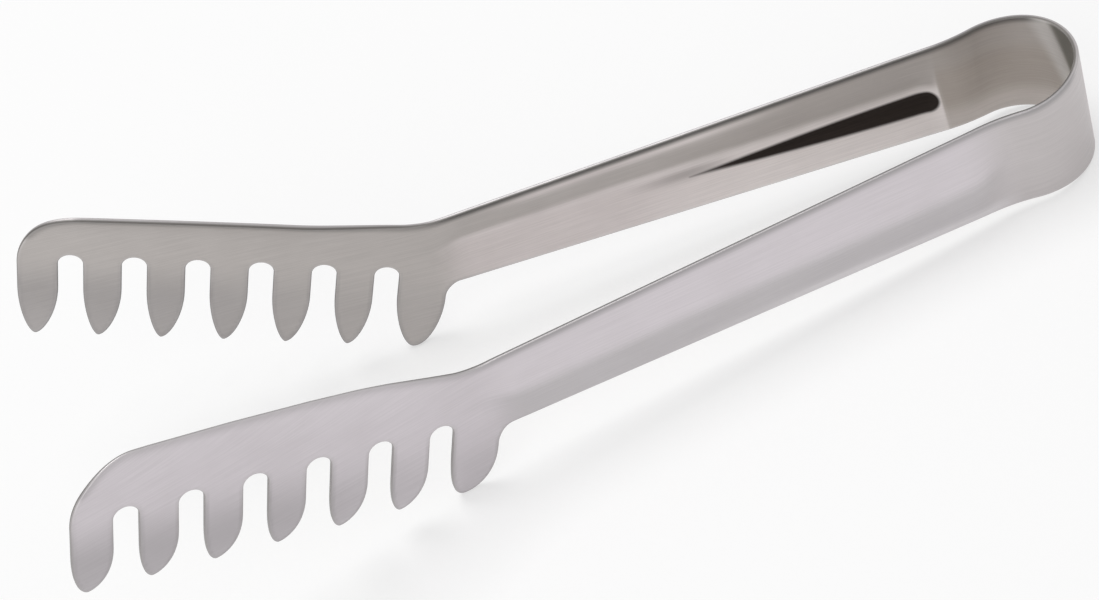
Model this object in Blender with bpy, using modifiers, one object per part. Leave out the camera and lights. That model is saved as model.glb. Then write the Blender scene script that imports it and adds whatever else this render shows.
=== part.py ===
"""Spaghetti tongs pressed and bent from one strip of sheet steel.

The strip is a bow that springs, two channelled handles and two combs of seven teeth. Every region that
flexes or is pressed to its own form is one object, and the seams between them are narrow gaps.

A point of the strip is given first on the flat blank, as q along the strip from the crown of the bow and
z across it. Pressing moves it out of the sheet, and bending lays the sheet along a plan curve. Both arms
are the same shape: the right arm has positive q and lies on the +Y side.

The tongs stand on the tips of their two rear teeth and on the lower edge of the bow, with the teeth
towards -X, +Z up and the origin on the table under the middle of the whole.
"""

import math

import bmesh
import bpy
import numpy as np
from mathutils import Matrix, Vector

# Sheet
SHEET = 0.0010
SEAM_GAP = 0.0003

# Bow
BOW_RADIUS = 0.0132
BOW_CLOSE = math.radians(8.7)
BOW_WIDTH = 0.0236
BOW_LEVELLED = 0.00025
CROWN_HALF_ANGLE = math.radians(45.0)
SHOULDER_RADIUS = 0.0400

# Handles
SPLAY = math.radians(4.45)
HANDLE_LENGTH = 0.1078
HANDLE_WIDTH_REAR = 0.0219
HANDLE_WIDTH_NECK = 0.0165
FLARE_START = 0.0016
FLARE_LENGTH = 0.0200
CHANNEL_DEPTH_REAR = 0.0028
CHANNEL_DEPTH_NECK = 0.0021
CHANNEL_START = 0.0030
CHANNEL_RUN_OUT = 0.0100
WEB_SHARE = 0.08
BEND_SHARE = 0.08

# Groove pressed into the inner face of each handle
GROOVE_LENGTH = 0.0482
GROOVE_REAR = 0.0108
GROOVE_WIDTH = 0.0046
GROOVE_DEPTH = 0.00055
GROOVE_DROP_REAR = 0.0036
GROOVE_DROP_FRONT = 0.0029
GROOVE_TAPER_POWER = 1.5
GROOVE_POINT = 0.05

# Neck
NECK_TURN = math.radians(7.6)
NECK_TURN_RADIUS = 0.0400
NECK_TOP_RADIUS = 0.0160
NECK_LOW_RADIUS = 0.0050
NECK_DROP = 0.0005
CHANNEL_FADE = 0.0080
NECK_MARGIN = 0.0010

# Combs
COMB_RISE = math.radians(21.1)
TOOTH_COUNT = 7
TOOTH_PITCH = 0.01215
GAP_WIDTH = 0.0048
REAR_GAP = 0.0113
COMB_TOP = 0.0069
COMB_TOP_DROP = 0.0010
COMB_TOP_BULGE = 0.0008
WEB_HEIGHT = 0.0111
TOOTH_LENGTH = 0.0193
TIP_TAPER = 0.0105
TIP_POWER = 1.2
TIP_LEAN = 0.0007
FRONT_TOOTH_WIDTH = 0.0078
FRONT_RADIUS = 0.0130
REAR_TOOTH_BACK = 0.0006
REAR_TIP_TAPER = 0.0115
REAR_TIP_POWER = 1.05
REAR_TIP_LEAN = -0.0002
TOP_CURL = 0.0019
TOP_CURL_HEIGHT = 0.0063
TIP_CURL = 0.0022
TIP_CURL_HEIGHT = 0.0110
CUP_RUN_IN = 0.0250

# Mesh fineness
BOW_STEP = math.radians(7.5)
HANDLE_COLUMNS = 26
STRIP_ROWS = 10
ARC_STEPS = 6
TOP_STEPS = 5
ROW_STEP = 0.0023
NECK_STEP = 0.0016
GROOVE_STEPS = 16
GROOVE_SIDES = 12

# Values that follow
BOW_ARC = BOW_RADIUS * (math.pi / 2 + BOW_CLOSE)
SHOULDER_LENGTH = SHOULDER_RADIUS * (BOW_CLOSE + SPLAY)
CROWN_ARC = BOW_RADIUS * CROWN_HALF_ANGLE
NECK = BOW_ARC + HANDLE_LENGTH
NECK_TURN_LENGTH = NECK_TURN_RADIUS * NECK_TURN
GAP_TOP = COMB_TOP - WEB_HEIGHT
TIP = GAP_TOP - TOOTH_LENGTH
FRONT_GAP = REAR_GAP + (TOOTH_COUNT - 2) * TOOTH_PITCH
COMB_FRONT = FRONT_GAP + GAP_WIDTH / 2 + FRONT_TOOTH_WIDTH


def to_blank(u, v):
    """Comb coordinates, u forwards and v up from the neck, to the flat blank's q and z."""
    q = NECK + u * math.cos(COMB_RISE) - v * math.sin(COMB_RISE)
    z = -NECK_DROP + u * math.sin(COMB_RISE) + v * math.cos(COMB_RISE)
    return q, z


def comb_height(q, z):
    """Height v across the comb of a point of the flat blank."""
    return (z + NECK_DROP) * math.cos(COMB_RISE) - (q - NECK) * math.sin(COMB_RISE)


def crossing(a, towards_a, b, towards_b):
    """Where two lines of the plane meet, each given by a point and a direction."""
    across = towards_a.cross(towards_b)
    return a + towards_a * ((b - a).cross(towards_b) / across)


def neck_top():
    """Corner of the blank where the handle's top edge turns up into the comb's, and the two directions."""
    taper = (HANDLE_WIDTH_REAR - HANDLE_WIDTH_NECK) / 2 / HANDLE_LENGTH
    handle_edge = Vector((1.0, -taper)).normalized()
    comb_start = Vector(to_blank(0.0, COMB_TOP))
    comb_edge = (Vector(to_blank(COMB_FRONT, COMB_TOP - COMB_TOP_DROP)) - comb_start).normalized()
    corner = crossing(Vector((NECK, HANDLE_WIDTH_NECK / 2)), handle_edge, comb_start, comb_edge)
    return corner, handle_edge, comb_edge


def handle_end():
    """Path distance of the seam at the neck, just before the top edge starts to turn."""
    corner, handle_edge, comb_edge = neck_top()
    rounding = NECK_TOP_RADIUS * math.tan(handle_edge.angle(comb_edge) / 2)
    return corner.x - rounding * handle_edge.x - NECK_MARGIN


def smooth(t):
    """Ease from 0 to 1 as t goes from 0 to 1."""
    t = min(max(t, 0.0), 1.0)
    return t * t * (3.0 - 2.0 * t)


def plan(q):
    """Point and heading of the middle of the sheet, seen from above, q along the right arm."""
    if q <= BOW_ARC:
        turn = q / BOW_RADIUS
        return BOW_RADIUS * math.cos(turn), BOW_RADIUS * math.sin(turn), math.pi / 2 - turn
    opened = min(q - BOW_ARC, SHOULDER_LENGTH)
    heading = opened / SHOULDER_RADIUS - BOW_CLOSE
    x = -BOW_RADIUS * math.sin(BOW_CLOSE) - SHOULDER_RADIUS * (math.sin(heading) + math.sin(BOW_CLOSE))
    y = BOW_RADIUS * math.cos(BOW_CLOSE) + SHOULDER_RADIUS * (math.cos(BOW_CLOSE) - math.cos(heading))
    straight = max(min(q, NECK - NECK_TURN_LENGTH / 2) - BOW_ARC - SHOULDER_LENGTH, 0.0)
    x -= straight * math.cos(SPLAY)
    y += straight * math.sin(SPLAY)
    turned = min(max(q - BOW_ARC - opened - straight, 0.0), NECK_TURN_LENGTH)
    if turned > 0.0:
        heading = SPLAY + turned / NECK_TURN_RADIUS
        x -= NECK_TURN_RADIUS * (math.sin(heading) - math.sin(SPLAY))
        y += NECK_TURN_RADIUS * (math.cos(SPLAY) - math.cos(heading))
    beyond = q - BOW_ARC - opened - straight - turned
    return x - beyond * math.cos(heading), y + beyond * math.sin(heading), heading


def strip_width(q):
    """Width of the strip from the bow to the neck."""
    along = (q - BOW_ARC) / HANDLE_LENGTH
    taper = HANDLE_WIDTH_REAR + max(along, 0.0) * (HANDLE_WIDTH_NECK - HANDLE_WIDTH_REAR)
    flare = smooth((BOW_ARC + FLARE_START - q) / FLARE_LENGTH)
    return taper + flare * (BOW_WIDTH - HANDLE_WIDTH_REAR)


def channel_section(share):
    """Depth of the channel as a share, from 1 on its narrow web to 0 at the ends of its two wide flanges."""
    past_bend = share - WEB_SHARE
    if past_bend < -BEND_SHARE:
        return 1.0
    if past_bend < BEND_SHARE:
        return 1.0 - (past_bend + BEND_SHARE) ** 2 / (4.0 * BEND_SHARE * (1.0 - WEB_SHARE))
    return max(0.0, 1.0 - past_bend / (1.0 - WEB_SHARE))


def pressed(q, z):
    """How far pressing moves a point of the blank outwards from the bent sheet."""
    s = q - BOW_ARC
    along = min(max(s / HANDLE_LENGTH, 0.0), 1.0)
    depth = CHANNEL_DEPTH_REAR + along * (CHANNEL_DEPTH_NECK - CHANNEL_DEPTH_REAR)
    depth *= smooth((s - CHANNEL_START) / CHANNEL_RUN_OUT)
    channel = depth * channel_section(abs(2.0 * z / strip_width(q)))
    v = comb_height(q, z)
    top = max(0.0, v - COMB_TOP + TOP_CURL_HEIGHT) / TOP_CURL_HEIGHT
    tip = max(0.0, TIP + TIP_CURL_HEIGHT - v) / TIP_CURL_HEIGHT
    cup = -TOP_CURL * top ** 2 * smooth((q - NECK) / CUP_RUN_IN) - TIP_CURL * tip ** 2
    share = smooth((q - NECK) / CHANNEL_FADE + 0.5)
    return (1.0 - share) * channel + share * cup


def formed(q, z):
    """Where a point of the flat blank lies on the bent and pressed strip."""
    x, y, heading = plan(abs(q))
    out = pressed(abs(q), z)
    x += out * math.sin(heading)
    y += out * math.cos(heading)
    return Vector((x, math.copysign(y, q), z))


def new_object(name, mesh, material, parent):
    """Put a mesh in the tongs' collection under its parent."""
    obj = bpy.data.objects.new(name, mesh)
    obj.parent = parent
    obj.data.materials.append(material)
    bpy.data.collections["spaghetti_tongs"].objects.link(obj)
    return obj


def thicken(obj):
    """Give an open sheet its thickness, half to each side."""
    solid = obj.modifiers.new("sheet", "SOLIDIFY")
    solid.thickness = SHEET
    solid.offset = 0.0
    solid.use_even_offset = True
    obj.data.shade_smooth()
    obj.data.set_sharp_from_angle(angle=math.radians(40.0))


def strip_piece(name, start, end, columns, material, parent):
    """A length of the strip between two path distances, as a sheet with its own thickness."""
    bm = bmesh.new()
    bmesh.ops.create_grid(bm, x_segments=columns, y_segments=STRIP_ROWS, size=0.5)
    for vert in bm.verts:
        q = start + (vert.co.x + 0.5) * (end - start)
        vert.co = formed(q, vert.co.y * strip_width(abs(q))) - parent.location
    mesh = bpy.data.meshes.new(name)
    bm.to_mesh(mesh)
    bm.free()
    obj = new_object(name, mesh, material, parent)
    thicken(obj)
    return obj


def rounded(before, corner, after, radius, steps):
    """Arc that rounds a corner of an outline, as a list of points."""
    back = (before - corner).normalized()
    on = (after - corner).normalized()
    half = back.angle(on) / 2
    middle = corner + (back + on).normalized() * (radius / math.sin(half))
    first = corner + back * (radius / math.tan(half)) - middle
    last = corner + on * (radius / math.tan(half)) - middle
    sweep = first.angle_signed(last)
    return [middle + Matrix.Rotation(-sweep * i / steps, 2) @ first for i in range(steps + 1)]


def tooth_side(tip_u, side_u, taper, power, upwards):
    """Half of a tooth's tip, a rounded point that swells to the tooth's side."""
    points = []
    for i in range(ARC_STEPS + 1):
        angle = math.pi / 2 * i / ARC_STEPS
        u = tip_u + (side_u - tip_u) * math.sin(angle) ** power
        points.append(Vector((u, TIP + taper * (1.0 - math.cos(angle)))))
    return points if upwards else points[::-1]


def comb_outline():
    """The comb's outline in its own u and v, from the seam along the top and back along the teeth."""
    cos_rise = math.cos(COMB_RISE)
    sin_rise = math.sin(COMB_RISE)

    def from_blank(q, z):
        return Vector(((q - NECK) * cos_rise + (z + NECK_DROP) * sin_rise, comb_height(q, z)))

    start = handle_end() + SEAM_GAP
    seam_top = from_blank(start, strip_width(start) / 2)
    seam_low = from_blank(start, -strip_width(start) / 2)
    low_line = from_blank(NECK, -strip_width(NECK) / 2) - seam_low
    turn_top = from_blank(*neck_top()[0])
    front_top = Vector((COMB_FRONT, COMB_TOP - COMB_TOP_DROP))
    neck_low = crossing(seam_low, low_line, Vector((-REAR_TOOTH_BACK, TIP)), Vector((0.0, 1.0)))

    top = []
    for i in range(1, TOP_STEPS):
        along = i / TOP_STEPS
        bulge = Vector((0.0, 4.0 * COMB_TOP_BULGE * along * (1.0 - along)))
        top.append(turn_top.lerp(front_top, along) + bulge)
    outline = [seam_top]
    outline += rounded(seam_top, turn_top, top[0], NECK_TOP_RADIUS, ARC_STEPS)
    outline += top
    outline += rounded(top[-1], front_top, Vector((COMB_FRONT, TIP)), FRONT_RADIUS, ARC_STEPS)
    front_side = COMB_FRONT
    for i in range(TOOTH_COUNT - 1):
        gap = FRONT_GAP - i * TOOTH_PITCH
        tip_u = gap + TOOTH_PITCH / 2 + TIP_LEAN
        outline += tooth_side(tip_u, front_side, TIP_TAPER, TIP_POWER, upwards=False)
        outline += tooth_side(tip_u, gap + GAP_WIDTH / 2, TIP_TAPER, TIP_POWER, upwards=True)[1:]
        for k in range(ARC_STEPS + 1):
            angle = math.pi * k / ARC_STEPS
            arch = Vector((math.cos(angle), math.sin(angle) - 1.0)) * (GAP_WIDTH / 2)
            outline.append(Vector((gap, GAP_TOP)) + arch)
        front_side = gap - GAP_WIDTH / 2
    tip_u = REAR_GAP - TOOTH_PITCH / 2 + REAR_TIP_LEAN
    outline += tooth_side(tip_u, front_side, REAR_TIP_TAPER, REAR_TIP_POWER, upwards=False)
    outline += tooth_side(tip_u, -REAR_TOOTH_BACK, REAR_TIP_TAPER, REAR_TIP_POWER, upwards=True)[1:]
    outline += rounded(Vector((-REAR_TOOTH_BACK, TIP)), neck_low, seam_low, NECK_LOW_RADIUS, ARC_STEPS)
    outline.append(seam_low)
    return outline


def filled(name, outline):
    """A flat outline as a mesh, filled by a 2D curve."""
    curve = bpy.data.curves.new(name + "_outline", "CURVE")
    curve.dimensions = "2D"
    curve.fill_mode = "BOTH"
    spline = curve.splines.new("POLY")
    spline.points.add(len(outline) - 1)
    for point, spot in zip(spline.points, outline):
        point.co = (spot.x, spot.y, 0.0, 1.0)
    spline.use_cyclic_u = True
    guide = bpy.data.objects.new(name + "_outline", curve)
    bpy.context.scene.collection.objects.link(guide)
    bpy.context.view_layer.update()
    graph = bpy.context.evaluated_depsgraph_get()
    mesh = bpy.data.meshes.new_from_object(guide.evaluated_get(graph))
    bpy.data.objects.remove(guide)
    bpy.data.curves.remove(curve)
    return mesh


def slice_rows(bm, normal, places):
    """Cut a flat sheet along parallel lines, so that it can bend there."""
    for place in places:
        everything = bm.verts[:] + bm.edges[:] + bm.faces[:]
        bmesh.ops.bisect_plane(bm, geom=everything, dist=1e-7, plane_co=normal * place, plane_no=normal)


def comb_piece(name, side, material, parent):
    """A comb: its flat outline is cut into rows, then pressed, bent and given its thickness."""
    mesh = filled(name, comb_outline())
    bm = bmesh.new()
    bm.from_mesh(mesh)
    bmesh.ops.remove_doubles(bm, verts=bm.verts, dist=1e-6)
    rows = round((COMB_TOP - TIP) / ROW_STEP)
    heights = [TIP + (COMB_TOP - TIP) * i / rows for i in range(1, rows)]
    slice_rows(bm, Vector((0.0, 1.0, 0.0)), heights)
    along = Vector((math.cos(COMB_RISE), -math.sin(COMB_RISE), 0.0))
    first = handle_end() + SEAM_GAP - NECK
    last = NECK_TURN_LENGTH / 2 + CHANNEL_FADE / 2
    columns = math.ceil((last - first) / NECK_STEP)
    slice_rows(bm, along, [first + (last - first) * i / columns for i in range(1, columns + 1)])
    for vert in bm.verts:
        q, z = to_blank(vert.co.x, vert.co.y)
        vert.co = formed(side * q, z) - parent.location
    bm.to_mesh(mesh)
    bm.free()
    mesh.name = name
    obj = new_object(name, mesh, material, parent)
    thicken(obj)
    return obj


def steel(name, shade, roughness):
    """Satin stainless steel."""
    material = bpy.data.materials.new(name)
    material.use_nodes = True
    surface = material.node_tree.nodes["Principled BSDF"]
    surface.inputs["Base Color"].default_value = (shade, shade, shade, 1.0)
    surface.inputs["Metallic"].default_value = 1.0
    surface.inputs["Roughness"].default_value = roughness
    return material


def inner_face(q, z):
    """Point of the right arm's inner face and the direction out of it, for a point of the blank."""
    step = 1e-4
    along = formed(q + step, z) - formed(q - step, z)
    across = formed(q, z + step) - formed(q, z - step)
    out = along.cross(across).normalized()
    inward = out if out.y < 0 else -out
    return formed(q, z) + inward * (SHEET / 2), inward


def groove_cutter(side):
    """A tapered tube, round at its rear end, that presses the pointed groove into a handle's inner face."""
    rear = BOW_ARC + GROOVE_REAR
    widest = GROOVE_WIDTH / 2
    stations = []
    for i in range(ARC_STEPS + 1):
        angle = math.pi / 2 * (1.0 - i / ARC_STEPS)
        stations.append((rear - widest * math.sin(angle), max(math.cos(angle), GROOVE_POINT)))
    for i in range(1, GROOVE_STEPS + 1):
        along = i / GROOVE_STEPS
        share = max(1.0 - along ** GROOVE_TAPER_POWER, GROOVE_POINT)
        stations.append((rear + along * GROOVE_LENGTH, share))

    curve = bpy.data.curves.new("groove", "CURVE")
    curve.dimensions = "3D"
    curve.bevel_depth = 1.0
    curve.bevel_resolution = GROOVE_SIDES
    curve.use_fill_caps = True
    spline = curve.splines.new("POLY")
    spline.points.add(len(stations) - 1)
    for point, (q, share) in zip(spline.points, stations):
        drop = GROOVE_DROP_REAR + (q - rear) / GROOVE_LENGTH * (GROOVE_DROP_FRONT - GROOVE_DROP_REAR)
        seat, inward = inner_face(q, -drop)
        half = widest * share
        sides = inner_face(q, -drop + half)[0] + inner_face(q, -drop - half)[0]
        hollow = (sides / 2 - seat).dot(inward)
        depth = GROOVE_DEPTH * share
        radius = (half ** 2 + (depth + hollow) ** 2) / (2.0 * (depth + hollow))
        middle = seat + inward * (radius - depth)
        point.co = (middle.x, side * middle.y, middle.z, 1.0)
        point.radius = radius
    guide = bpy.data.objects.new("groove", curve)
    bpy.data.collections["cutters"].objects.link(guide)
    bpy.context.view_layer.update()
    graph = bpy.context.evaluated_depsgraph_get()
    mesh = bpy.data.meshes.new_from_object(guide.evaluated_get(graph))
    bpy.data.objects.remove(guide)
    bpy.data.curves.remove(curve)
    bm = bmesh.new()
    bm.from_mesh(mesh)
    bmesh.ops.remove_doubles(bm, verts=bm.verts, dist=1e-7)
    bmesh.ops.recalc_face_normals(bm, faces=bm.faces)
    bm.to_mesh(mesh)
    bm.free()
    cutter = bpy.data.objects.new("groove_cutter", mesh)
    hide_cutter(cutter)
    return cutter


def hide_cutter(cutter):
    """Keep a cutter out of the tongs and out of a render."""
    cutter.hide_render = True
    cutter.display_type = "WIRE"
    bpy.data.collections["cutters"].objects.link(cutter)


def cut(obj, cutter):
    """Take a cutter's shape away from a piece."""
    boolean = obj.modifiers.new(cutter.name, "BOOLEAN")
    boolean.operation = "DIFFERENCE"
    boolean.solver = "EXACT"
    boolean.object = cutter


def world_points(objects):
    """All corners of the objects as they are seen, in world space."""
    bpy.context.view_layer.update()
    graph = bpy.context.evaluated_depsgraph_get()
    points = []
    for obj in objects:
        seen = obj.evaluated_get(graph)
        mesh = seen.to_mesh()
        points += [tuple(seen.matrix_world @ vert.co) for vert in mesh.vertices]
        seen.to_mesh_clear()
    return np.array(points)


def empty(name, location, parent):
    """A frame that pieces hang on."""
    frame = bpy.data.objects.new(name, None)
    frame.location = location
    frame.parent = parent
    frame.empty_display_size = BOW_RADIUS
    bpy.data.collections["spaghetti_tongs"].objects.link(frame)
    return frame


def table_cutter():
    """A block whose top is the table, which levels the lower edge of the bow."""
    side = 2 * (HANDLE_LENGTH + COMB_FRONT)
    bm = bmesh.new()
    bmesh.ops.create_cube(bm, size=side)
    bmesh.ops.translate(bm, vec=(0.0, 0.0, -side / 2), verts=bm.verts)
    mesh = bpy.data.meshes.new("table")
    bm.to_mesh(mesh)
    bm.free()
    cutter = bpy.data.objects.new("table", mesh)
    hide_cutter(cutter)
    return cutter


def build():
    """Make the tongs and stand them on the table."""
    for obj in list(bpy.data.objects):
        bpy.data.objects.remove(obj)
    for name in ("spaghetti_tongs", "cutters"):
        bpy.context.scene.collection.children.link(bpy.data.collections.new(name))

    bow_steel = steel("bow_steel", 0.62, 0.28)
    handle_steel = steel("handle_steel", 0.66, 0.30)
    comb_steel = steel("comb_steel", 0.66, 0.33)

    tongs = empty("tongs", (0.0, 0.0, 0.0), None)
    crown_end = CROWN_ARC - SEAM_GAP / 2
    crown_columns = 2 * math.ceil(CROWN_HALF_ANGLE / BOW_STEP)
    bow = strip_piece("spring_bow", -crown_end, crown_end, crown_columns, bow_steel, tongs)

    flat_pieces = [bow]
    combs = []
    for name, side in (("left", -1), ("right", 1)):
        hinge = empty(f"{name}_hinge", formed(side * CROWN_ARC, 0.0), tongs)
        shoulder_columns = math.ceil((BOW_ARC - CROWN_ARC) / BOW_RADIUS / BOW_STEP)
        shoulder = strip_piece(
            f"{name}_shoulder",
            side * (CROWN_ARC + SEAM_GAP / 2),
            side * (BOW_ARC - SEAM_GAP / 2),
            shoulder_columns,
            bow_steel,
            hinge,
        )
        handle = strip_piece(
            f"{name}_handle",
            side * (BOW_ARC + SEAM_GAP / 2),
            side * handle_end(),
            HANDLE_COLUMNS,
            handle_steel,
            hinge,
        )
        groove = groove_cutter(side)
        groove.parent = tongs
        cut(handle, groove)
        flat_pieces += [shoulder, handle]
        combs.append(comb_piece(f"{name}_comb", side, comb_steel, hinge))

    edge = Vector((BOW_RADIUS, 0.0, -BOW_WIDTH / 2 + BOW_LEVELLED))
    teeth = world_points(combs)
    tongs.rotation_euler.y = max(np.arctan2(edge.z - teeth[:, 2], edge.x - teeth[:, 0]))
    bpy.context.view_layer.update()
    tongs.location.z = -(tongs.matrix_world @ edge).z
    table = table_cutter()
    for piece in flat_pieces:
        cut(piece, table)
    spread = world_points(flat_pieces + combs)[:, 0]
    tongs.location.x = -(spread.min() + spread.max()) / 2


build()
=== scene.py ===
"""Spaghetti tongs of satin stainless steel on a plain pale floor.

The tongs are one pressed strip. A point of the strip is given first on the flat blank: q along it from the
crown of the bow, z across it and t through the sheet, with the outer face at positive t. Every piece is cut,
rounded and gridded as a flat blank, and is then pressed, bent and stood on the table.
"""

import logging
import math
from dataclasses import dataclass, field
from enum import Enum
from typing import ClassVar

import bmesh
import bpy
import numpy as np
from mathutils import Matrix, Vector


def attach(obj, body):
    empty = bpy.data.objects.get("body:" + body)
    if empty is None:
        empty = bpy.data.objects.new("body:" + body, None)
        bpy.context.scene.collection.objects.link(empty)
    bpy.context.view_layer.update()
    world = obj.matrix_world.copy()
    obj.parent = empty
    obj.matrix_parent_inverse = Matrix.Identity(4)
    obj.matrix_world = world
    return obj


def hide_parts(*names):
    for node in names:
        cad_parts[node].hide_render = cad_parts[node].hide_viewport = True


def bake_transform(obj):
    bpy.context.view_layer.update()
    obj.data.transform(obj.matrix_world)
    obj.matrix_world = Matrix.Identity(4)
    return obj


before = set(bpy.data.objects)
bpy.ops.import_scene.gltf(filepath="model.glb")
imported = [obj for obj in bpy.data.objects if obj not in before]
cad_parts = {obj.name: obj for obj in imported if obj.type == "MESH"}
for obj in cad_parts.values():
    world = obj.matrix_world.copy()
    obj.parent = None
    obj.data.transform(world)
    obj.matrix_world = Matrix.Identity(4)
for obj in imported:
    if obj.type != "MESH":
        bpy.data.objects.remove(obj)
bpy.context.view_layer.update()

LOG = logging.getLogger("spaghetti_tongs")
MM = 0.001
SAME_PLACE = 1e-3 * MM
PROBE = 0.01 * MM
Colour = tuple[float, float, float]
Socket = bpy.types.NodeSocket


class Side(Enum):
    """Which arm a piece belongs to, and the sign of its place across the tongs."""

    LEFT = -1
    RIGHT = 1

    @property
    def word(self) -> str:
        """Name of the side as it stands in the names of pieces."""
        return self.name.lower()

    @property
    def arm(self) -> str:
        """Body that the arm of this side moves with."""
        return f"{self.word}_arm"


def smooth(t: np.ndarray) -> np.ndarray:
    """Ease from 0 to 1 as t goes from 0 to 1."""
    t = np.clip(t, 0.0, 1.0)
    return t * t * (3.0 - 2.0 * t)


def ramp(value: np.ndarray, start: float, run: float) -> np.ndarray:
    """Ease from 0 to 1 over a run that begins at start."""
    return smooth((value - start) / run)


def centred(value: np.ndarray, width: float) -> np.ndarray:
    """Ease from 0 to 1 over a width whose middle is at 0."""
    return smooth(value / width + 0.5)


def hill(value: np.ndarray, width: float) -> np.ndarray:
    """Rise to 1 where value is 0 and fall off over a width on both sides."""
    return np.exp(-((value / width) ** 2))


def round_off(
    flat: bmesh.types.BMesh, parts: list[object], offset: float, affect: str, segments: int
) -> None:
    """Round edges or corners of a blank.

    Args:
        flat: The blank, changed in place.
        parts: The edges or points to round.
        offset: How far the rounding reaches from them.
        affect: EDGES or VERTICES.
        segments: Number of steps of the rounding.
    """
    bmesh.ops.bevel(
        flat,
        geom=parts,
        offset=offset,
        offset_type="OFFSET",
        affect=affect,
        segments=segments,
        profile=0.5,
        material=-1,
    )


def crossing(a: Vector, towards_a: Vector, b: Vector, towards_b: Vector) -> Vector:
    """Find where two lines of a plane meet.

    Args:
        a: A point on the first line.
        towards_a: Direction of the first line.
        b: A point on the second line.
        towards_b: Direction of the second line.

    Returns:
        The point that the lines share.
    """
    return a + towards_a * ((b - a).cross(towards_b) / towards_a.cross(towards_b))


@dataclass(frozen=True)
class Groove:
    """Pointed groove in the inner face of a handle, round at its rear end."""

    length: float = 48.2 * MM
    rear: float = 10.8 * MM
    width: float = 4.6 * MM
    depth: float = 0.55 * MM
    drop_rear: float = 3.6 * MM
    drop_front: float = 2.9 * MM
    taper_power: float = 1.5
    wall_ratio: float = 2.4

    def inside(self, s: np.ndarray, z: np.ndarray) -> np.ndarray:
        """Measure how far points lie inside the groove's edge.

        Args:
            s: Distances along the handle from the bow.
            z: Places across the strip.

        Returns:
            Distances from the edge, positive inside the groove, in metres.
        """
        along = np.clip((s - self.rear) / self.length, 0.0, 1.0)
        drop = self.drop_rear + along * (self.drop_front - self.drop_rear)
        half = self.width / 2 * (1.0 - along ** self.taper_power)
        before = np.maximum(self.rear - s, 0.0)
        beyond = np.maximum(s - self.rear - self.length, 0.0)
        return half - np.hypot(z + drop, before + beyond)

    def sinking(self, s: np.ndarray, z: np.ndarray) -> np.ndarray:
        """Depth of the groove below the inner face at points of the handle, in metres."""
        return self.depth * smooth(self.inside(s, z) / (self.width / self.wall_ratio))


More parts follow.
